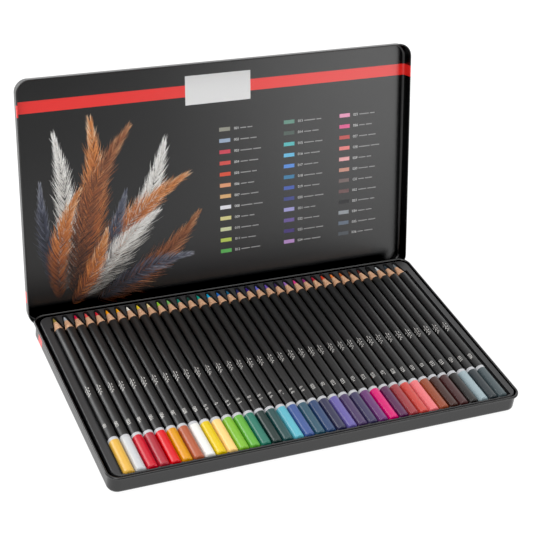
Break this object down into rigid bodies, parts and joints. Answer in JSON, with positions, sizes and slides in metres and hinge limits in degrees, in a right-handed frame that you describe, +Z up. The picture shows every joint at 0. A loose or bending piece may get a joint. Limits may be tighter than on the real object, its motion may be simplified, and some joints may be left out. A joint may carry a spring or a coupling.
{
  "type": "colour pencil tin",
  "caption": "Flat hinged tin with a formed insert tray and a row of round, sharpened colour pencils; the lid swings back on wire hinges to its stop.",
  "frame": {"origin": "centre of the tin base's flat underside, on the table", "axes": "+X along the row of pencils to the right, +Y from the front of the tin towards its hinge, +Z up; at rest the lid stands open on its stop"},
  "size_m": [0.3214, 0.2448, 0.1854],
  "materials": {
    "black_lacquer": "satin",
    "hinge_wire": "drawn wire",
    "tray_plastic": "matte",
    "colour_01": "lacquered, with a dipped end in the pencil's colour",
    "colour_02": "lacquered, with a dipped end in the pencil's colour",
    "colour_03": "lacquered, with a dipped end in the pencil's colour",
    "colour_04": "lacquered, with a dipped end in the pencil's colour",
    "colour_05": "lacquered, with a dipped end in the pencil's colour",
    "colour_06": "lacquered, with a dipped end in the pencil's colour",
    "colour_07": "lacquered, with a dipped end in the pencil's colour",
    "colour_08": "lacquered, with a dipped end in the pencil's colour",
    "colour_09": "lacquered, with a dipped end in the pencil's colour",
    "colour_10": "lacquered, with a dipped end in the pencil's colour",
    "colour_11": "lacquered, with a dipped end in the pencil's colour",
    "colour_12": "lacquered, with a dipped end in the pencil's colour",
    "colour_13": "lacquered, with a dipped end in the pencil's colour",
    "colour_14": "lacquered, with a dipped end in the pencil's colour",
    "colour_15": "lacquered, with a dipped end in the pencil's colour",
    "colour_16": "lacquered, with a dipped end in the pencil's colour",
    "colour_17": "lacquered, with a dipped end in the pencil's colour",
    "colour_18": "lacquered, with a dipped end in the pencil's colour",
    "colour_19": "lacquered, with a dipped end in the pencil's colour",
    "colour_20": "lacquered, with a dipped end in the pencil's colour",
    "colour_21": "lacquered, with a dipped end in the pencil's colour",
    "colour_22": "lacquered, with a dipped end in the pencil's colour",
    "colour_23": "lacquered, with a dipped end in the pencil's colour",
    "colour_24": "lacquered, with a dipped end in the pencil's colour",
    "colour_25": "lacquered, with a dipped end in the pencil's colour",
    "colour_26": "lacquered, with a dipped end in the pencil's colour",
    "colour_27": "lacquered, with a dipped end in the pencil's colour",
    "colour_28": "lacquered, with a dipped end in the pencil's colour",
    "colour_29": "lacquered, with a dipped end in the pencil's colour",
    "colour_30": "lacquered, with a dipped end in the pencil's colour",
    "colour_31": "lacquered, with a dipped end in the pencil's colour",
    "colour_32": "lacquered, with a dipped end in the pencil's colour",
    "colour_33": "lacquered, with a dipped end in the pencil's colour",
    "colour_34": "lacquered, with a dipped end in the pencil's colour",
    "colour_35": "lacquered, with a dipped end in the pencil's colour",
    "colour_36": "lacquered, with a dipped end in the pencil's colour"
  },
  "bodies": {
    "base": {"base_tin": "black_lacquer", "hinge_pin_left": "hinge_wire", "hinge_pin_right": "hinge_wire"},
    "lid": {"lid_tin": "black_lacquer"},
    "tray": {"insert_tray": "tray_plastic"},
    "pencil_01_body": {"pencil_01": "colour_01"},
    "pencil_02_body": {"pencil_02": "colour_02"},
    "pencil_03_body": {"pencil_03": "colour_03"},
    "pencil_04_body": {"pencil_04": "colour_04"},
    "pencil_05_body": {"pencil_05": "colour_05"},
    "pencil_06_body": {"pencil_06": "colour_06"},
    "pencil_07_body": {"pencil_07": "colour_07"},
    "pencil_08_body": {"pencil_08": "colour_08"},
    "pencil_09_body": {"pencil_09": "colour_09"},
    "pencil_10_body": {"pencil_10": "colour_10"},
    "pencil_11_body": {"pencil_11": "colour_11"},
    "pencil_12_body": {"pencil_12": "colour_12"},
    "pencil_13_body": {"pencil_13": "colour_13"},
    "pencil_14_body": {"pencil_14": "colour_14"},
    "pencil_15_body": {"pencil_15": "colour_15"},
    "pencil_16_body": {"pencil_16": "colour_16"},
    "pencil_17_body": {"pencil_17": "colour_17"},
    "pencil_18_body": {"pencil_18": "colour_18"},
    "pencil_19_body": {"pencil_19": "colour_19"},
    "pencil_20_body": {"pencil_20": "colour_20"},
    "pencil_21_body": {"pencil_21": "colour_21"},
    "pencil_22_body": {"pencil_22": "colour_22"},
    "pencil_23_body": {"pencil_23": "colour_23"},
    "pencil_24_body": {"pencil_24": "colour_24"},
    "pencil_25_body": {"pencil_25": "colour_25"},
    "pencil_26_body": {"pencil_26": "colour_26"},
    "pencil_27_body": {"pencil_27": "colour_27"},
    "pencil_28_body": {"pencil_28": "colour_28"},
    "pencil_29_body": {"pencil_29": "colour_29"},
    "pencil_30_body": {"pencil_30": "colour_30"},
    "pencil_31_body": {"pencil_31": "colour_31"},
    "pencil_32_body": {"pencil_32": "colour_32"},
    "pencil_33_body": {"pencil_33": "colour_33"},
    "pencil_34_body": {"pencil_34": "colour_34"},
    "pencil_35_body": {"pencil_35": "colour_35"},
    "pencil_36_body": {"pencil_36": "colour_36"}
  },
  "joints": [
    {"name": "lid_hinge", "type": "hinge", "parent": "base", "child": "lid", "pos_m": [0, 0.09165, 0.0076], "axis": [-1, 0, 0], "range_deg": [-106.42, 0]},
    {"name": "tray_lift", "type": "slide", "parent": "base", "child": "tray", "axis": [0, 0, 1], "range_m": [0, 0.03]},
    {"name": "pencil_01_lift", "type": "slide", "parent": "tray", "child": "pencil_01_body", "axis": [0, 0, 1], "range_m": [0, 0.03]},
    {"name": "pencil_02_lift", "type": "slide", "parent": "tray", "child": "pencil_02_body", "axis": [0, 0, 1], "range_m": [0, 0.03]},
    {"name": "pencil_03_lift", "type": "slide", "parent": "tray", "child": "pencil_03_body", "axis": [0, 0, 1], "range_m": [0, 0.03]},
    {"name": "pencil_04_lift", "type": "slide", "parent": "tray", "child": "pencil_04_body", "axis": [0, 0, 1], "range_m": [0, 0.03]},
    {"name": "pencil_05_lift", "type": "slide", "parent": "tray", "child": "pencil_05_body", "axis": [0, 0, 1], "range_m": [0, 0.03]},
    {"name": "pencil_06_lift", "type": "slide", "parent": "tray", "child": "pencil_06_body", "axis": [0, 0, 1], "range_m": [0, 0.03]},
    {"name": "pencil_07_lift", "type": "slide", "parent": "tray", "child": "pencil_07_body", "axis": [0, 0, 1], "range_m": [0, 0.03]},
    {"name": "pencil_08_lift", "type": "slide", "parent": "tray", "child": "pencil_08_body", "axis": [0, 0, 1], "range_m": [0, 0.03]},
    {"name": "pencil_09_lift", "type": "slide", "parent": "tray", "child": "pencil_09_body", "axis": [0, 0, 1], "range_m": [0, 0.03]},
    {"name": "pencil_10_lift", "type": "slide", "parent": "tray", "child": "pencil_10_body", "axis": [0, 0, 1], "range_m": [0, 0.03]},
    {"name": "pencil_11_lift", "type": "slide", "parent": "tray", "child": "pencil_11_body", "axis": [0, 0, 1], "range_m": [0, 0.03]},
    {"name": "pencil_12_lift", "type": "slide", "parent": "tray", "child": "pencil_12_body", "axis": [0, 0, 1], "range_m": [0, 0.03]},
    {"name": "pencil_13_lift", "type": "slide", "parent": "tray", "child": "pencil_13_body", "axis": [0, 0, 1], "range_m": [0, 0.03]},
    {"name": "pencil_14_lift", "type": "slide", "parent": "tray", "child": "pencil_14_body", "axis": [0, 0, 1], "range_m": [0, 0.03]},
    {"name": "pencil_15_lift", "type": "slide", "parent": "tray", "child": "pencil_15_body", "axis": [0, 0, 1], "range_m": [0, 0.03]},
    {"name": "pencil_16_lift", "type": "slide", "parent": "tray", "child": "pencil_16_body", "axis": [0, 0, 1], "range_m": [0, 0.03]},
    {"name": "pencil_17_lift", "type": "slide", "parent": "tray", "child": "pencil_17_body", "axis": [0, 0, 1], "range_m": [0, 0.03]},
    {"name": "pencil_18_lift", "type": "slide", "parent": "tray", "child": "pencil_18_body", "axis": [0, 0, 1], "range_m": [0, 0.03]},
    {"name": "pencil_19_lift", "type": "slide", "parent": "tray", "child": "pencil_19_body", "axis": [0, 0, 1], "range_m": [0, 0.03]},
    {"name": "pencil_20_lift", "type": "slide", "parent": "tray", "child": "pencil_20_body", "axis": [0, 0, 1], "range_m": [0, 0.03]},
    {"name": "pencil_21_lift", "type": "slide", "parent": "tray", "child": "pencil_21_body", "axis": [0, 0, 1], "range_m": [0, 0.03]},
    {"name": "pencil_22_lift", "type": "slide", "parent": "tray", "child": "pencil_22_body", "axis": [0, 0, 1], "range_m": [0, 0.03]},
    {"name": "pencil_23_lift", "type": "slide", "parent": "tray", "child": "pencil_23_body", "axis": [0, 0, 1], "range_m": [0, 0.03]},
    {"name": "pencil_24_lift", "type": "slide", "parent": "tray", "child": "pencil_24_body", "axis": [0, 0, 1], "range_m": [0, 0.03]},
    {"name": "pencil_25_lift", "type": "slide", "parent": "tray", "child": "pencil_25_body", "axis": [0, 0, 1], "range_m": [0, 0.03]},
    {"name": "pencil_26_lift", "type": "slide", "parent": "tray", "child": "pencil_26_body", "axis": [0, 0, 1], "range_m": [0, 0.03]},
    {"name": "pencil_27_lift", "type": "slide", "parent": "tray", "child": "pencil_27_body", "axis": [0, 0, 1], "range_m": [0, 0.03]},
    {"name": "pencil_28_lift", "type": "slide", "parent": "tray", "child": "pencil_28_body", "axis": [0, 0, 1], "range_m": [0, 0.03]},
    {"name": "pencil_29_lift", "type": "slide", "parent": "tray", "child": "pencil_29_body", "axis": [0, 0, 1], "range_m": [0, 0.03]},
    {"name": "pencil_30_lift", "type": "slide", "parent": "tray", "child": "pencil_30_body", "axis": [0, 0, 1], "range_m": [0, 0.03]},
    {"name": "pencil_31_lift", "type": "slide", "parent": "tray", "child": "pencil_31_body", "axis": [0, 0, 1], "range_m": [0, 0.03]},
    {"name": "pencil_32_lift", "type": "slide", "parent": "tray", "child": "pencil_32_body", "axis": [0, 0, 1], "range_m": [0, 0.03]},
    {"name": "pencil_33_lift", "type": "slide", "parent": "tray", "child": "pencil_33_body", "axis": [0, 0, 1], "range_m": [0, 0.03]},
    {"name": "pencil_34_lift", "type": "slide", "parent": "tray", "child": "pencil_34_body", "axis": [0, 0, 1], "range_m": [0, 0.03]},
    {"name": "pencil_35_lift", "type": "slide", "parent": "tray", "child": "pencil_35_body", "axis": [0, 0, 1], "range_m": [0, 0.03]},
    {"name": "pencil_36_lift", "type": "slide", "parent": "tray", "child": "pencil_36_body", "axis": [0, 0, 1], "range_m": [0, 0.03]}
  ]
}
